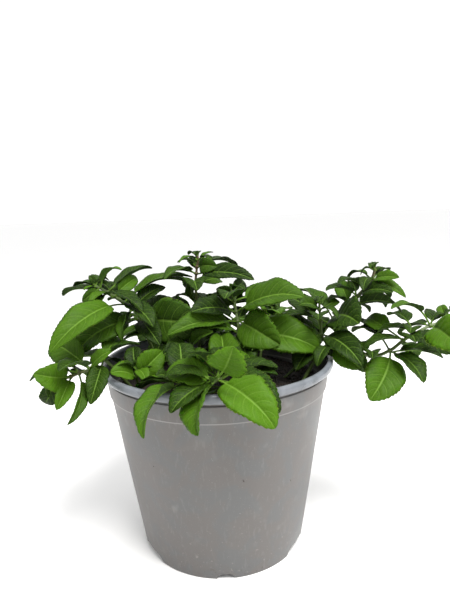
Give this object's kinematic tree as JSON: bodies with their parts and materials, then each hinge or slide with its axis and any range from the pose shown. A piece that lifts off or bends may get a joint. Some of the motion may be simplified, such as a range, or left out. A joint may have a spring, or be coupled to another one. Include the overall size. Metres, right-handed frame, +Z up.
{
  "type": "potted mint plant",
  "caption": "Mint plant with leafy spreading stems growing from dark potting soil in a plain round grey nursery pot.",
  "frame": {"origin": "centre of the pot's flat underside, where it rests", "axes": "+Z up through the middle of the pot, -Y to the front, +X towards the longest shoot"},
  "size_m": [0.3378, 0.2335, 0.242],
  "materials": {
    "pot": "warm mid grey moulded plastic, satin, with a glossier cooler rolled lip",
    "soil": "dark damp crumbly potting soil",
    "stem": "green square stems, reddish brown towards the tips, slightly waxy",
    "leaf": "mid to dark green leaves with pale veins, satin above and matt grey green below"
  },
  "bodies": {
    "root": {"back_left_leaves_1": "leaf", "back_left_leaves_2": "leaf", "back_left_leaves_3": "leaf", "back_left_stem": "stem", "back_right_leaves_1": "leaf", "back_right_leaves_2": "leaf", "back_right_leaves_3": "leaf", "back_right_stem": "stem", "back_sprout": "leaf", "back_tall_leaves_1": "leaf", "back_tall_leaves_2": "leaf", "back_tall_leaves_3": "leaf", "back_tall_leaves_4": "leaf", "back_tall_leaves_5": "leaf", "back_tall_stem": "stem", "centre_leaves_1": "leaf", "centre_leaves_2": "leaf", "centre_leaves_3": "leaf", "centre_leaves_4": "leaf", "centre_left_sprout": "leaf", "centre_stem": "stem", "front_left_sprout": "leaf", "front_low_sprout": "leaf", "front_right_sprout": "leaf", "front_rosette_leaves_1": "leaf", "front_rosette_leaves_2": "leaf", "front_rosette_leaves_3": "leaf", "front_rosette_leaves_4": "leaf", "front_rosette_stem": "stem", "left_arching_leaves_1": "leaf", "left_arching_leaves_2": "leaf", "left_arching_leaves_3": "leaf", "left_arching_leaves_4": "leaf", "left_arching_leaves_5": "leaf", "left_arching_stem": "stem", "left_trailing_leaves_1": "leaf", "left_trailing_leaves_2": "leaf", "left_trailing_leaves_3": "leaf", "left_trailing_leaves_4": "leaf", "left_trailing_stem": "stem", "pot": "pot", "potting_soil": "soil", "right_long_leaves_1": "leaf", "right_long_leaves_2": "leaf", "right_long_leaves_3": "leaf", "right_long_leaves_4": "leaf", "right_long_leaves_5": "leaf", "right_long_leaves_6": "leaf", "right_long_stem": "stem", "right_mid_leaves_1": "leaf", "right_mid_leaves_2": "leaf", "right_mid_leaves_3": "leaf", "right_mid_leaves_4": "leaf", "right_mid_stem": "stem", "right_tall_leaves_1": "leaf", "right_tall_leaves_2": "leaf", "right_tall_leaves_3": "leaf", "right_tall_leaves_4": "leaf", "right_tall_leaves_5": "leaf", "right_tall_stem": "stem"}
  },
  "joints": []
}
